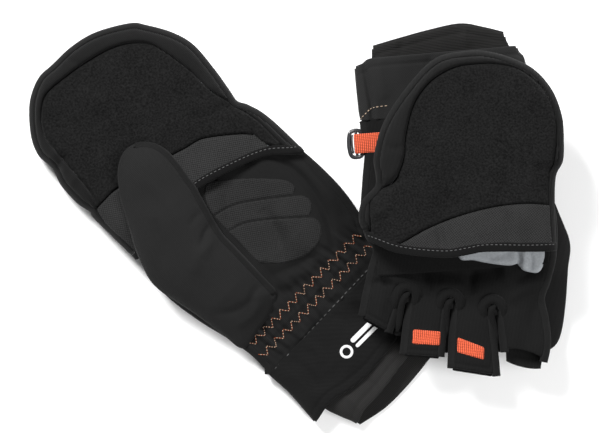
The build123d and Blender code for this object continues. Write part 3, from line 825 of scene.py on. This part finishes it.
def build_wrist_stitching(m, mat, v):
    """Two zigzag rows over the gathered wrist, each with an orange and a cream thread."""
    legs = zigzag(v, (-48.5, -78.6), (52, -77.4), 7.3, 5.2) + zigzag(v, (-48.5, -88.8), (52, -87.7), 7.3, 5.2)
    orange = [threads(leg, 1.15, 0.75, 0.45) for leg in legs]
    cream = [threads(leg[::-1] + [0.0, 0.0, 0.05], 0.7, 1.2, 0.5) for leg in legs]
    m.add("zigzag_orange", join(orange), mat["orange_thread"], slot="elastic")
    m.add("zigzag_cream", join(cream), mat["cream_thread"], slot="elastic")


def build_cuff_seam(m, volume, line, material, length, gap):
    """A row of stitches on top of a volume, along the seam of the cuff."""
    path, _ = surface_path(volume, smooth(line, 1.0), 0.6, 0.25)
    m.add("cuff_seam_stitches", threads(path, length, gap, 0.5), material)


def build_thumb(m, s, mat, wrinkles):
    """The thumb's pouch: a back, a front that wraps round the outer edge, and a strip on the palm's side."""
    v = Volume(s, "thumb", 25.0, 9.0, 2.0, wrinkles)
    inset = 2.6
    palm_run = part(v.outline, s["thumb"][0], max(s["thumb"], key=lambda q: q[1] + 0.3 * q[0]))
    outer_run = extend(part(v.outline, palm_run[-1], palm_run[0]), 0.6, 0.6)

    def shell(P):
        """Reaches nearly to the edge, but stays clear of the strip on the palm's side."""
        return np.maximum(v.region(P) + 0.9, inset - to_segments(P, palm_run)[0])

    def dip(P):
        """The groove of the seam beside that strip, fading towards the tip."""
        away, along = to_segments(P, palm_run - normals_of(palm_run) * inset)
        return 1.5 * np.exp(-((away / 1.5) ** 2)) * np.clip((0.97 - along) / 0.3, 0, 1)

    holed = both(shell, outside(ellipse(THUMB_HOLE, 16, 22)))
    top = sheet(shell if s["palm_up"] else holed, v.box(), lambda P: v.top(P) - dip(P))
    low = sheet(holed if s["palm_up"] else shell, v.box(), v.bottom, lower=True, step=1.4)
    front, back = (top, low) if s["palm_up"] else (low, top)
    front = join([front, v.belt(outer_run, 1.4, 1.4)])
    m.add("thumb_front_cloth", front, mat["thumb"], "thumb_front", "softshell")
    m.add("thumb_back_cloth", back, mat["thumb"], "thumb_back", "softshell")
    gusset = v.belt(palm_run, inset + 0.6, inset + 0.6, puff=0.3)
    m.add("thumb_gusset_cloth", gusset, mat["side"], "thumb_gusset", "softshell")


def build_hood(m, s, mat, wrinkles, palm_folds):
    """The hood's padded palm and rim, grip patch, back, hem and lining."""
    tip, body = s["tip"], m.hood_body
    v = Volume(s, "hood", 15.0, 11.0, 2.3, wrinkles)
    reach = 2.8
    face = grown(v.region, -reach)
    hem_line, seam_line, grip_line = (smooth(s[name], 1.5) for name in ("hem", "hood_seam", "grip_edge"))
    hem = above(hem_line, tip)
    inner = Region(np.vstack([seam_line, [(seam_line[-1][0], -tip * 40), (seam_line[0][0], -tip * 40)]]))
    beyond_grip = above(grip_line, tip)
    palm = both(inner, beyond_grip, face)
    rim = both(outside(inner), face, hem)
    grip = both(inner, outside(beyond_grip), face, hem)

    def palm_height(P):
        return v.top(P) - seam(P, palm, 2.4, 3.0) + palm_folds(P) * rounded(-palm(P), 9.0)

    def rim_height(P):
        return v.top(P) - seam(P, rim, 2.4, 3.0) + 1.6 * rounded(-rim(P), 5.0)

    def grip_height(P):
        return v.top(P) + 0.5 + palm_folds(P) * 0.7 - seam(P, grip, 1.0, 0.9)

    palm_pad = sheet(palm, v.box(), palm_height, 1.6)
    rim_pad = sheet(rim, v.box(), rim_height, 1.6)
    grip_patch = sheet(grip, v.box(), grip_height, 1.5)
    pads = (
        m.add("hood_palm_pad", palm_pad, mat["fleece"], "hood_palm", "fleece", body),
        m.add("hood_rim_pad", rim_pad, mat["rim"], "hood_rim", "fleece", body),
    )
    m.add("hood_grip_patch", grip_patch, mat["grip"], "hood_grip", "grip_print", body)
    # the back of the hood: the face towards the hand's back, and the wrap round the edge
    past_fold = lambda P: -tip * P[:, 1]
    low = sheet(both(grown(v.region, -5.0), past_fold), v.box(), v.bottom, 1.4, 1.3, lower=True)
    if tip > 0:
        run = part(v.outline, hem_line[-1] + [0, 6], hem_line[0] + [0, 2])
    else:
        run = part(v.outline, hem_line[0] + [0, -2], hem_line[-1] + [0, -2])
    back = join([low, v.belt(run, reach + 0.6, 5.8, puff=0.3)])
    m.add("hood_back_cloth", back, mat["back"], "hood_back", "softshell", body)
    # the binding along the open edge, laid over the surface from side to side
    centre = hem_line + np.array([0, tip * HEM_WIDTH / 2])
    centre = centre[v.region(centre) < -0.15]
    path, up = surface_path(v, centre, 1.0, -0.6)
    m.add("hood_hem_binding", ribbon(path, HEM_WIDTH, 3.6, up), mat["binding"], "hood_hem", "binding", body)
    stitched = centre + np.array([0, tip * 1.4])
    path, _ = surface_path(v, stitched[v.region(stitched) < -1.0], 0.6, 1.25)
    m.add("hem_topstitch", threads(path, 1.7, 1.2, 0.42), mat["thread"], None, "binding", body)
    # the pale lining under the palm side of the hood
    lining = sheet(both(grown(v.region, -7.0), grown(hem, -3.0)), v.box(), lambda P: v.top(P) - 3.0, 0.6, 1.8)
    m.add("hood_liner_cloth", lining, mat["liner"], "hood_liner", "lining", body)


def build_cuffs(m, s, mat, wrinkles):
    """The two nested cuffs, each a front and a back joined at the sides. Returns the outer one's volume."""
    volumes = []
    for name, cloth_name, ends, start, thick in (
        ("outer", "cuff", ("outer_end", "outer_end"), -99.5, 1.4),
        ("inner", "inner_cuff", ("inner_front", "inner_back"), -112.0, 1.1),
    ):
        v = Volume(s, name, 12.0, 12.0, 2.2, wrinkles[name])
        front, back = (above(smooth(s[end], 1.5)) for end in ends)
        body = both(grown(v.region, -0.9), lambda P: P[:, 1] - start)

        def top_height(P):
            """The top with its rolled end and the stitched groove beside it."""
            rolled = 0.9 * (1 - np.sqrt(np.clip(1 - np.clip(1 + front(P) / 1.5, 0, 1) ** 2, 0, 1)))
            groove = 0.7 * np.exp(-(((-front(P) - 5.5) / 0.9) ** 2))
            return v.top(P) - rolled - groove

        box = ((-70, 70), (-175, start + 1))
        parts = [
            sheet(both(body, front), box, top_height, thick),
            sheet(both(body, back), box, v.bottom, thick, 1.3, lower=True),
        ]
        middle_x = (v.outline[:, 0].min() + v.outline[:, 0].max()) / 2
        for ulnar in (True, False):
            half = v.outline[(v.outline[:, 0] > middle_x) == ulnar]
            kept = half[front(half) < -0.5]
            first, last = kept[np.argmin(kept[:, 1])], half[np.argmin(np.abs(half[:, 1] - start))]
            run = part(v.outline, first, last) if ulnar else part(v.outline, last, first)
            parts.append(v.belt(run, 1.6, 1.6, thick))
        m.add(f"{name}_cuff_cloth", join(parts), mat[cloth_name], f"{name}_cuff", "softshell")
        volumes.append(v)
    return volumes[0]


def build_magnets(m, tip, hood_z, cuff_z):
    """The plates inside the hood and the cuff, which hold the hood when it is folded back."""
    places = (("hood", MAGNET_Y * tip, hood_z, m.hood_body), ("cuff", -MAGNET_Y, cuff_z, m.hand_body))
    for name, y, z, body in places:
        plate = disc((0, y), 6, z - 0.8, z + 0.8)
        m.add(f"{name}_magnet_plate", plate, STEEL, f"{name}_magnet", "magnet_steel", body)


def build_palm_grip(m, s, mat, v):
    """The textured patch of three lobes, divided by two narrow channels."""
    patch = Region(
        smooth(
            [(-6.8, -44), (-0.8, -52.4), (8, -59), (18.3, -63.4), (28.9, -63.4), (35.6, -60), (39, -55),
             (38.8, -50.5), (36.6, -47.0), (41, -45.6), (44.2, -42), (44.4, -37), (41.5, -32), (38.6, -29.8),
             (42.6, -28.8), (44.2, -25), (41.6, -18.5), (31, -6.6), (20, 3.8), (11, 11.5), (5, 14), (-1, 10),
             (-5.4, 2), (-6.6, -12), (-6.8, -30)],
            1.2, closed=True,
        )
    )
    channels = (
        smooth([(-9, -3), (-5, -3.8), (7.8, -7.6), (20.6, -15.9), (38.6, -29.8), (46, -36)], 2.0),
        smooth([(-9, -16.6), (-5, -17.4), (4, -20.4), (16.4, -29.1), (36.6, -47), (44, -54)], 2.0),
    )

    def drop(P):
        """How far the patch lies below its full height, in its channels and at its edge."""
        gap = np.min([to_segments(P, line)[0] for line in channels], axis=0)
        return np.maximum(1.1 * np.exp(-((gap / 0.75) ** 2)), seam(P, patch, 1.1, 0.8))

    box = ((-12, 50), (-68, 20))
    if s["palm_up"]:
        grip = sheet(patch, box, lambda P: v.top(P) + 0.7 - drop(P), 1.5, 0.55)
    else:
        grip = sheet(patch, box, lambda P: v.bottom(P) - 0.6 + drop(P), 1.5, 0.8, lower=True)
    m.add("palm_grip_patch", grip, mat["palm_grip"], "palm_grip", "grip_print")


def build_tapes(m, s, mat, v, patches):
    """Two bright tapes with rounded corners, on the backs of the ring and middle fingers."""
    tapes = []
    for corners in patches:
        ring = []
        for a, b in zip(corners, corners[1:] + corners[:1]):
            a, b = np.array(a, float), np.array(b, float)
            ring += [a + (b - a) * t for t in (0.04, 0.35, 0.65, 0.96)]
        region = Region(smooth(ring, 0.8, closed=True))
        (x, y), r = np.mean(corners, axis=0), 20
        box = ((x - r, x + r), (y - r, y + r))
        if s["palm_up"]:
            tapes.append(sheet(region, box, lambda P: v.bottom(P) - 0.5, 0.9, 0.7, lower=True))
        else:
            tapes.append(sheet(region, box, lambda P: v.top(P) + 0.7 - seam(P, region, 0.8, 0.4), 0.9, 0.6))
    m.add("finger_tape_strips", join(tapes), mat["tape"], "finger_tapes", "bright_webbing")


def build_mark(m, s, mat, v):
    """A plain ring and two plain bars printed on the palm side of the cuff."""

    def ring(P):
        return np.abs(np.hypot(P[:, 0] + 7.4, P[:, 1] + 125.2) - 3.5) - 0.85

    def rounded_bar(x0, x1, y, half):
        return lambda P: to_segments(P, np.array([(x0 + half, y), (x1 - half, y)]))[0] - half

    parts = []
    for region, box in (
        (ring, ((-13, -2), (-131, -119))),
        (rounded_bar(-0.8, 24, -122.9, 1.6), ((-2, 26), (-126, -120))),
        (rounded_bar(-0.8, 22, -127.3, 1.2), ((-2, 24), (-130, -125))),
    ):
        if s["palm_up"]:
            parts.append(sheet(region, box, lambda P: v.top(P) + 0.25, 0.5, 0.45))
        else:
            parts.append(sheet(region, box, lambda P: v.bottom(P) - 0.25, 0.5, 0.45, lower=True))
    m.add("cuff_mark", join(parts), mat["mark"])


def build_loop(m, mat, lead, shift=0.0, drop=0.0):
    """A short strap folded round a bar; lead is where it comes from, beside and above the bar."""
    x, y, z = m.local(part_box(f"{m.side}_clip_loop"))
    run = lead + [(3.0, 2.2), (4.8, 0), (3.0, -2.4), (-2, -2.6), (-8, -2.2)]
    path = smooth([(x + dx + shift, y, z + dz - drop) for dx, dz in run], 0.7)
    up = np.cross([0.0, 1.0, 0.0], np.gradient(path, axis=0))
    up /= np.linalg.norm(up, axis=1, keepdims=True)
    webbing = ribbon(path, 12.5, 1.5, up, 20, 0.5)
    m.add("clip_loop_webbing", webbing, mat["tape"], "clip_loop", "bright_webbing")


# ------------------------------------------------------------------ the pair
def build_left():
    """The left mitten, palm up with its hood closed."""
    m, s = Mitten("left"), LEFT
    mat = mitten_materials(m.turn, 18, 34)

    def hand_wrinkles(P):
        x, y = P.T
        near = np.exp(-(((y - ELASTIC_Y) / 13) ** 2))
        lean = x + 2.2 * np.sin(y * 0.11 + x * 0.05)
        coarse, fine = np.sin(lean * 0.62 + 1.4 * np.sin(lean * 0.19)), np.sin(lean * 1.21 + 1.0)
        gathers = near * (1.9 * coarse + 1.0 * fine)
        bulge = np.array([(20, -60), (40, -30), (38, 0)])
        puff = 2.4 * np.exp(-((to_segments(P, bulge)[0] / 16) ** 2))
        return unevenness(P, 34, 0.45, 3) + gathers + puff + folds(P, [
            (2.4, -3.6, (43, 6), (48.5, -6), (51, -20), (50.4, -34), (45.9, -52.5), (37.9, -67), (33, -74)),
            (2.4, -1.6, (59.4, -12), (58.6, -33), (57.4, -52), (54, -66)),
            (4.0, -1.8, (15.3, 5), (5, -5), (-4, -18.5)), (4.0, -2.0, (19.5, -22), (14.5, -41), (5, -56)),
            (5.0, 1.2, (28, -20), (24, -40), (16, -60)),
            (3.4, -2.8, (-5, -46), (-9.6, -62.6), (-16.4, -72)),
            (2.6, -2.4, (23, -67), (18.7, -76), (18.7, -85)), (2.0, -2.4, (-16, -88), (-19.8, -98)),
            (2.4, -2.4, (19.8, -89), (19.8, -99)), (3.0, -1.6, (-8, -56), (10, -64), (30, -68)),
            (3.5, 1.2, (-10, -62), (8, -70), (30, -72)),
            (2.0, 1.3, (-50, -84), (-20, -84), (20, -83.5), (50, -82.5)),
            (2.5, 1.0, (-50, -94), (-20, -94), (20, -93.5), (50, -92.5)),
            (1.6, -1.2, (-40, -97), (-20, -100), (5, -98)), (2.2, -2.8, (-34, -72), (-31, -84), (-34, -98)),
            (2.4, 2.0, (-27, -70), (-24, -80), (-26, -90)), (2.6, -2.4, (2, -66), (5, -76), (2, -84)),
            (2.0, -2.4, (8, -84), (6, -92), (10, -100)), (2.2, 1.8, (14, -84), (14, -92), (17, -99)),
            (2.4, -2.2, (30, -68), (34, -78), (32, -92)), (3.4, -2.2, (-12, -66), (-6, -72), (4, -74)),
            (2.6, 1.2, (52, -60), (56, -35), (56, -10)),
        ])

    thumb_wrinkles = wrinkled(30, 0.7, 8, [
        (1.9, -2.2, (-8, -7), (-16, -7), (-26, -12)), (3.0, 1.2, (-9, -12), (-18, -14), (-30, -18)),
        (2.2, -1.2, (-6, 2), (-14, 4), (-22, 2)), (2.4, -1.4, (-12, -58), (-20, -56), (-30, -60)),
        (4.0, 1.2, (-12, -18), (-26, -14), (-42, -20)), (3.6, -1.3, (-56, -6), (-44, 6), (-34, 22)),
        (3.0, -1.6, (-52, -46), (-40, -56), (-24, -60)), (2.5, 1.2, (-50, -62), (-36, -66), (-20, -64)),
        (4.0, 0.9, (-22, 48), (-20, 30), (-24, 10)),
    ])
    hood_wrinkles = wrinkled(42, 0.7, 5, [
        (2.4, -2.6, (-61, 84), (-54, 89), (-44, 90)), (2.6, 1.4, (-60, 97), (-52, 96), (-46, 99)),
        (2.6, 1.1, (-62, 72), (-54, 76), (-47, 75)), (3.0, -1.6, (54, 36), (46, 42), (38, 44)),
        (3.0, 1.0, (58, 52), (50, 56), (44, 62)), (2.4, -1.0, (-2, 138), (0, 130), (4, 122)),
        (2.4, -0.8, (30, 130), (28, 122), (24, 116)),
    ])
    palm_folds = wrinkled(26, 0.35, 11, [
        (7.0, 1.0, (-30, 104), (-6, 98), (18, 86)), (6.0, -0.8, (-36, 84), (-14, 76), (10, 70)),
        (4.5, -1.0, (22, 60), (32, 48), (40, 34)), (5.0, 0.9, (-6, 52), (10, 58), (28, 56)),
    ])
    cuff_wrinkles = dict(
        outer=wrinkled(28, 0.7, 21, [
            (3.4, 1.6, (-46, -104), (-42, -120), (-46, -140)),
            (3.0, -1.5, (-36, -103), (-34, -116), (-37, -130)),
            (3.0, 1.4, (-22, -103), (-20, -112), (-24, -120)), (3.0, -1.2, (2, -102), (6, -110), (4, -118)),
            (3.6, 1.4, (18, -101), (24, -112), (30, -126)), (3.4, -1.4, (34, -101), (38, -118), (36, -138)),
            (4.0, 0.9, (-52, -126), (-30, -134), (-4, -133)),
        ]),
        inner=wrinkled(22, 0.5, 22, [
            (2.2, 0.9, (-30, -142), (-27, -150), (-29, -160)),
            (2.2, -0.8, (-12, -144), (-10, -152), (-12, -159)),
            (2.4, 0.8, (8, -142), (11, -150), (9, -157)),
        ]),
    )
    hand = build_hand(m, s, mat, hand_wrinkles)
    build_wrist_elastic(m, mat, hand)
    build_wrist_stitching(m, mat, hand)
    cuff_seam = [(-49, -100.6), (-20, -99.6), (10, -98.7), (46, -97.5)]
    build_cuff_seam(m, hand, cuff_seam, mat["thread"], 2.4, 1.6)
    build_palm_grip(m, s, mat, hand)
    ring_tape = [(30, 35), (31, 43), (15, 43), (14, 35)]
    middle_tape = [(6, 42), (6, 51), (-13, 51), (-13, 42)]
    build_tapes(m, s, mat, hand, [ring_tape, middle_tape])
    build_thumb(m, s, mat, thumb_wrinkles)
    build_hood(m, s, mat, hood_wrinkles, palm_folds)
    outer_cuff = build_cuffs(m, s, mat, cuff_wrinkles)
    build_mark(m, s, mat, outer_cuff)
    build_magnets(m, s["tip"], 18.0, 3.6)
    build_loop(m, mat, [(-8, 2.2), (-2, 2.4)], -5.0, 4.0)


def build_right():
    """The right mitten, palm down with its hood folded back."""
    m, s = Mitten("right"), RIGHT
    # the outer cuff is painted lighter here than on the left (31 against 18): a painted sheen, not a lighter
    # cloth
    mat = mitten_materials(m.turn, 31, 27)

    def hand_wrinkles(P):
        height = unevenness(P, 30, 0.9, 31) + folds(P, [
            (6.5, -9.0, (54, -14), (36, -5), (16, -1), (-6, 1), (-26, -1)),
            (4.2, 3.4, (56, -4), (44, 2), (30, 8), (22, 10)), (4.5, 2.4, (16, 8), (6, 10), (-4, 10)),
            (3.4, -3.4, (62, 8), (54, 4), (44, 6)), (3.6, -3.2, (26, 16), (24, 6), (30, -4)),
            (3.6, -3.2, (-6, 16), (-4, 8), (-8, 0)), (4.0, 1.8, (-30, 12), (-26, 2), (-30, -6)),
            (3.4, 2.2, (-54, 10), (-40, 14), (-26, 22)), (3.2, -2.8, (-54, 2), (-42, 4), (-32, 10)),
            (3.0, -1.4, (-44, 50), (-42, 36), (-46, 22)), (4.5, 1.3, (-30, 52), (-31, 40), (-30, 28)),
            (4.0, 1.4, (52, 34), (54, 22), (50, 12)), (3.0, 1.0, (40, -10), (44, -18), (40, -26)),
        ])
        room = np.interp(P[:, 1], [-20, -8, 4, 12], [0.3, 0.6, 1.8, 2.4])  # below the hood, folded or closed
        return np.minimum(height, room)

    hood_wrinkles = wrinkled(40, 0.7, 35, [
        (2.6, -2.6, (53, -58), (44, -58), (34, -62)), (3.0, -1.6, (-66, -62), (-58, -60), (-48, -62)),
        (2.6, -1.2, (46, -84), (38, -80), (32, -82)), (2.6, -1.0, (6, -134), (6, -126), (2, -118)),
        (3.0, 0.9, (-60, -108), (-52, -106), (-46, -100)), (3.2, 1.6, (60, -40), (50, -40), (44, -46)),
    ])
    palm_folds = wrinkled(26, 0.4, 41, [
        (7.0, 1.0, (-30, -60), (-10, -72), (6, -90)), (7.0, -0.9, (-50, -86), (-30, -96), (-10, -112)),
        (5.0, 1.0, (20, -52), (6, -50), (-10, -54)), (1.8, -1.8, (14, -12), (13, -22), (15, -31)),
        (2.0, 1.1, (8, -11), (8, -22), (9, -32)), (2.0, -1.6, (-30, -12), (-30, -24), (-29, -37)),
        (2.2, 1.0, (-37, -12), (-36, -24), (-35, -37)),
    ])
    cuff_wrinkles = dict(
        outer=wrinkled(28, 0.8, 61, [
            (1.6, -3.6, (54.8, -150), (53.4, -134), (51.6, -118), (50.6, -107), (51, -88)),
            (4.0, 1.4, (44, -139), (44, -128), (42, -112)), (3.0, -1.2, (10, -140), (12, -130), (8, -120)),
            (3.0, 1.2, (-20, -140), (-22, -130), (-18, -120)),
        ]),
        inner=wrinkled(24, 0.6, 62, [
            (2.6, -1.0, (30, -140), (28, -148), (26, -152)),
            (2.6, 1.0, (-14, -142), (-12, -150), (-14, -156)),
        ]),
    )
    hand = build_hand(m, s, mat, hand_wrinkles)
    build_tucks(m, s, mat)
    build_wrist_elastic(m, mat, hand)
    build_palm_grip(m, s, mat, hand)
    ring_tape = [(34.1, 35.6), (35.4, 44.6), (17.8, 47), (16.8, 38.2)]
    middle_tape = [(6.4, 42.5), (7.1, 52.1), (-9.6, 58.1), (-10.2, 50.1)]
    build_tapes(m, s, mat, hand, [ring_tape, middle_tape])
    build_thumb(m, s, mat, wrinkled(30, 0.6, 51))
    build_hood(m, s, mat, hood_wrinkles, palm_folds)
    outer_cuff = build_cuffs(m, s, mat, cuff_wrinkles)
    build_mark(m, s, mat, outer_cuff)
    cuff_seam = [(58.2, -100.6), (55.5, -103), (51.2, -106.7), (46, -107.6), (38, -108)]
    build_cuff_seam(m, outer_cuff, cuff_seam, mat["cream_thread"], 1.6, 1.2)
    build_magnets(m, s["tip"], 44.2, 14.5)
    build_loop(m, mat, [(-15, 10.5), (-9, 9), (-4, 6)])
    build_liner_mouth(m, mat)
    build_hook(m)


def build_liner_mouth(m, mat):
    """The hood's pale lining showing in its mouth, over the back of the hand."""
    pocket = Region(
        smooth([(2, -8), (-7, -5.8), (-14, -3.8), (-22, -2), (-29, -0.8), (-35, -0.6), (-38, 2.6), (-42, 4.2),
                (-47.5, 5), (-51, 1), (-53, -8), (-50, -25), (-30, -30), (0, -25)], 1.2, True)
    )
    puckers = wrinkled(16, 0.5, 71, [
        (1.6, -1.6, (-33, 1), (-36, -4), (-35, -10)), (1.8, 1.4, (-38, 3), (-40, -3), (-39, -9)),
        (1.5, -1.4, (-43, 4), (-44, -2), (-43, -9)), (2.4, -0.8, (-14, -4), (-22, -7), (-32, -9)),
    ])
    height = lambda P: 43.4 + puckers(P) - seam(P, pocket, 3.0, 1.6)
    mouth = sheet(pocket, ((-60, 10), (-35, 10)), height, 1.0)
    m.add("liner_mouth", mouth, mat["liner"], None, "lining", m.hood_body)


def build_hook(m):
    """A small moulded hook: a rounded frame with a bar for the strap and a springy tongue."""
    x, y, z = m.local(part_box("right_clip_hook"))

    def rod(points, wide, tall):
        path = smooth([(x + dx, y + dy, z + dz) for dx, dy, dz in points], 0.6)
        return ribbon(path, wide, tall, UPRIGHT, flat=0.8)

    rim = [(3.6, -7.5, 0), (4.6, -3, 0), (4.6, 3, 0), (3.4, 7.6, 0), (0, 8.6, 0), (-3.2, 7.4, 0),
           (-3.8, 3, 0), (-3.8, -3, 0), (-3, -7.6, 0), (0.4, -8.6, 0), (3.6, -7.5, 0)]
    parts = [
        rod(rim, 2.6, 3.0),
        rod([(-0.2, -7.8, 0.2), (0, 0, 0.4), (-0.2, 7.8, 0.2)], 1.8, 2.2),
        rod([(2.4, -6, 1.2), (2.8, 0, 1.8), (2.2, 6, 1.2)], 1.4, 1.4),
    ]
    m.add("snap_hook", join(parts), PLASTIC, "clip_hook", "black_plastic", "hook")


def studio():
    """A pale floor, soft light from above and the photograph's camera."""
    scene = bpy.context.scene
    scene.view_settings.view_transform = "Standard"
    mesh = bpy.data.meshes.new("floor")
    far = 3.0
    corners = [(-far, -far, 0), (far, -far, 0), (far, far, 0), (-far, far, 0)]
    mesh.from_pydata(corners, [], [(0, 1, 2, 3)])
    floor = bpy.data.objects.new("floor", mesh)
    scene.collection.objects.link(floor)
    floor.location.z = -0.0005
    pale = {"Base Color": (0.93, 0.93, 0.93, 1), "Roughness": 0.9, "Specular IOR Level": 0.1}
    mesh.materials.append(new_material("pale_floor", pale)[0])
    world = bpy.data.worlds.new("studio")
    scene.world = world
    world.use_nodes = True
    world.node_tree.nodes["Background"].inputs["Color"].default_value = (1, 1, 1, 1)
    world.node_tree.nodes["Background"].inputs["Strength"].default_value = 0.22
    for name, place, wide, power in (
        ("key", (-0.8, 1.3, 1.5), 0.7, 88.0),
        ("fill", (1.1, -0.6, 1.8), 1.4, 46.0),
    ):
        data = bpy.data.lights.new(name, "AREA")
        data.size = wide
        data.energy = power
        light = bpy.data.objects.new(name, data)
        scene.collection.objects.link(light)
        light.location = place
        light.rotation_euler = (Vector((0, 0, 0)) - Vector(place)).to_track_quat("-Z", "Y").to_euler()
    data = bpy.data.cameras.new("camera")
    data.sensor_width = 36
    data.lens = 469
    camera = bpy.data.objects.new("camera", data)
    camera.location = (0.0009, 0.0069, 5.02)
    scene.collection.objects.link(camera)
    scene.camera = camera


build_left()
build_right()
studio()
